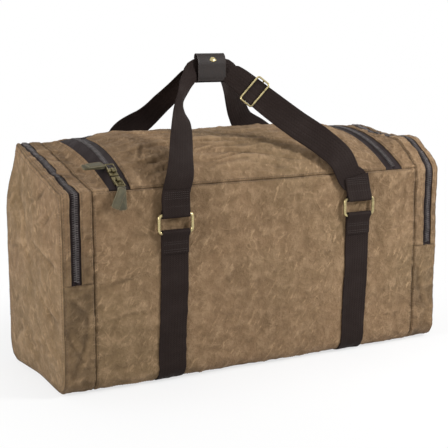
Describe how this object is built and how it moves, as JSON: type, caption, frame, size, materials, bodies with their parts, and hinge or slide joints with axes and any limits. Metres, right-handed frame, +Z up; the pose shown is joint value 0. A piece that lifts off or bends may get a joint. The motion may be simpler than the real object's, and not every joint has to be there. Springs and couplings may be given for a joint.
{
  "type": "duffel bag",
  "caption": "Canvas duffel bag with a zipped lid, a zipped pocket at each end, metal rings and two webbing handles joined by a leather grip.",
  "frame": {"origin": "centre of the bounding box on the resting plane, under the bag", "axes": "+X along the length towards the right end, +Y towards the back, +Z up"},
  "size_m": [0.74, 0.273, 0.5399],
  "materials": {
    "canvas": "washed waxed canvas",
    "webbing": "heavy woven webbing",
    "leather": "oiled leather",
    "brass": "antique",
    "zip_tape": "woven tape",
    "zip_teeth": "satin",
    "board": "matt"
  },
  "bodies": {
    "shell": {"back_panel": "canvas", "back_top_strip": "canvas", "base_board": "board", "bottom_panel": "canvas", "front_panel": "canvas", "front_top_strip": "canvas", "left_body_strap": "webbing", "left_divider": "canvas", "left_end_panel": "canvas", "left_gusset_inner": "canvas", "left_gusset_lower": "canvas", "left_pocket_tape": "zip_tape", "left_pocket_teeth": "zip_teeth", "left_shoulder": "canvas", "main_zip_body_tape": "zip_tape", "main_zip_body_teeth": "zip_teeth", "main_zip_front_tape": "zip_tape", "main_zip_front_teeth": "zip_teeth", "right_body_strap": "webbing", "right_divider": "canvas", "right_end_panel": "canvas", "right_gusset_inner": "canvas", "right_gusset_lower": "canvas", "right_pocket_tape": "zip_tape", "right_pocket_teeth": "zip_teeth", "right_shoulder": "canvas"},
    "lid": {"lid_panel": "canvas", "lid_zip_teeth": "zip_teeth", "lid_zip_tape": "zip_tape"},
    "rear_slider": {"rear_slider": "brass"},
    "front_slider": {"front_slider": "brass"},
    "front_pull": {"front_puller": "brass", "front_tab": "leather"},
    "rear_pull": {"rear_puller": "brass", "rear_tab": "leather"},
    "front_handle": {"front_handle": "webbing", "strap_adjuster": "brass"},
    "back_handle": {"back_handle": "webbing", "grip_wrap": "leather"},
    "grip_flap": {"grip_flap": "leather", "grip_snap": "brass"},
    "left_flap": {"left_flap_panel": "canvas", "left_flap_gusset": "canvas", "left_flap_tape": "zip_tape", "left_flap_teeth": "zip_teeth"},
    "left_pocket_slider": {"left_pocket_slider": "brass"},
    "left_pocket_pull": {"left_pocket_puller": "brass", "left_pocket_tab": "leather"},
    "front_left_ring": {"front_left_ring": "brass"},
    "back_left_ring": {"back_left_ring": "brass"},
    "right_flap": {"right_flap_panel": "canvas", "right_flap_gusset": "canvas", "right_flap_tape": "zip_tape", "right_flap_teeth": "zip_teeth"},
    "right_pocket_slider": {"right_pocket_slider": "brass"},
    "right_pocket_pull": {"right_pocket_puller": "brass", "right_pocket_tab": "leather"},
    "front_right_ring": {"front_right_ring": "brass"},
    "back_right_ring": {"back_right_ring": "brass"}
  },
  "joints": [
    {"name": "lid_open", "type": "hinge", "parent": "shell", "child": "lid", "pos_m": [0, -0.0734, 0.36345], "axis": [1, 0, 0], "range_deg": [0, 80]},
    {"name": "rear_slider_travel", "type": "hinge", "parent": "shell", "child": "rear_slider", "pos_m": [0, 0.06738, 0.06598], "axis": [1, 0, 0], "range_deg": [-24, 0]},
    {"name": "front_slider_travel", "type": "hinge", "parent": "shell", "child": "front_slider", "pos_m": [0, 0.06738, 0.06598], "axis": [1, 0, 0], "range_deg": [-24, 0]},
    {"name": "front_pull_swing", "type": "hinge", "parent": "front_slider", "child": "front_pull", "pos_m": [-0.27, -0.11308, 0.34775], "axis": [-1, 0, 0], "range_deg": [0, 150]},
    {"name": "rear_pull_swing", "type": "hinge", "parent": "rear_slider", "child": "rear_pull", "pos_m": [-0.27, -0.09341, 0.35942], "axis": [1, 0, 0], "range_deg": [0, 140]},
    {"name": "left_flap_fold", "type": "hinge", "parent": "shell", "child": "left_flap", "pos_m": [-0.37, 0, 0.22], "axis": [0, -1, 0], "range_deg": [0, 100]},
    {"name": "left_pocket_slider_travel", "type": "slide", "parent": "shell", "child": "left_pocket_slider", "axis": [0, 0, -1], "range_m": [-0.167, 0]},
    {"name": "left_pocket_pull_swing", "type": "hinge", "parent": "left_pocket_slider", "child": "left_pocket_pull", "pos_m": [-0.348, 0.1305, 0.203], "axis": [1, 0, 0], "range_deg": [0, 90]},
    {"name": "right_flap_fold", "type": "hinge", "parent": "shell", "child": "right_flap", "pos_m": [0.37, 0, 0.22], "axis": [0, 1, 0], "range_deg": [0, 100]},
    {"name": "right_pocket_slider_travel", "type": "slide", "parent": "shell", "child": "right_pocket_slider", "axis": [0, 0, -1], "range_m": [-0.167, 0]},
    {"name": "right_pocket_pull_swing", "type": "hinge", "parent": "right_pocket_slider", "child": "right_pocket_pull", "pos_m": [0.348, 0.1305, 0.203], "axis": [1, 0, 0], "range_deg": [0, 90]},
    {"name": "front_left_ring_swing", "type": "hinge", "parent": "shell", "child": "front_left_ring", "pos_m": [-0.176, -0.131, 0.25625], "axis": [1, 0, 0], "range_deg": [0, 80]},
    {"name": "front_right_ring_swing", "type": "hinge", "parent": "shell", "child": "front_right_ring", "pos_m": [0.188, -0.131, 0.25625], "axis": [1, 0, 0], "range_deg": [0, 80]},
    {"name": "front_handle_swing", "type": "hinge", "parent": "front_left_ring", "child": "front_handle", "pos_m": [-0.176, -0.131, 0.28575], "axis": [1, 0, 0], "range_deg": [0, 80]},
    {"name": "back_left_ring_swing", "type": "hinge", "parent": "shell", "child": "back_left_ring", "pos_m": [-0.176, 0.131, 0.25625], "axis": [-1, 0, 0], "range_deg": [0, 80]},
    {"name": "back_right_ring_swing", "type": "hinge", "parent": "shell", "child": "back_right_ring", "pos_m": [0.188, 0.131, 0.25625], "axis": [-1, 0, 0], "range_deg": [0, 80]},
    {"name": "back_handle_swing", "type": "hinge", "parent": "back_left_ring", "child": "back_handle", "pos_m": [-0.176, 0.131, 0.28575], "axis": [-1, 0, 0], "range_deg": [0, 80]},
    {"name": "grip_flap_open", "type": "hinge", "parent": "back_handle", "child": "grip_flap", "pos_m": [-0.045, 0.00565, 0.5374], "axis": [-1, 0, 0], "range_deg": [0, 96], "deforming": ["grip_flap"]}
  ],
  "couplings": [
    {"joint": "front_left_ring_swing", "follows": "lid_open", "ratio": 1},
    {"joint": "front_right_ring_swing", "follows": "lid_open", "ratio": 1},
    {"joint": "front_handle_swing", "follows": "lid_open", "ratio": 1},
    {"joint": "back_left_ring_swing", "follows": "lid_open", "ratio": 1},
    {"joint": "back_right_ring_swing", "follows": "lid_open", "ratio": 1},
    {"joint": "back_handle_swing", "follows": "lid_open", "ratio": 1},
    {"joint": "grip_flap_open", "follows": "lid_open", "ratio": 1.2},
    {"joint": "front_slider_travel", "follows": "rear_slider_travel", "ratio": 1},
    {"joint": "front_pull_swing", "follows": "rear_slider_travel", "ratio": -6.25}
  ]
}
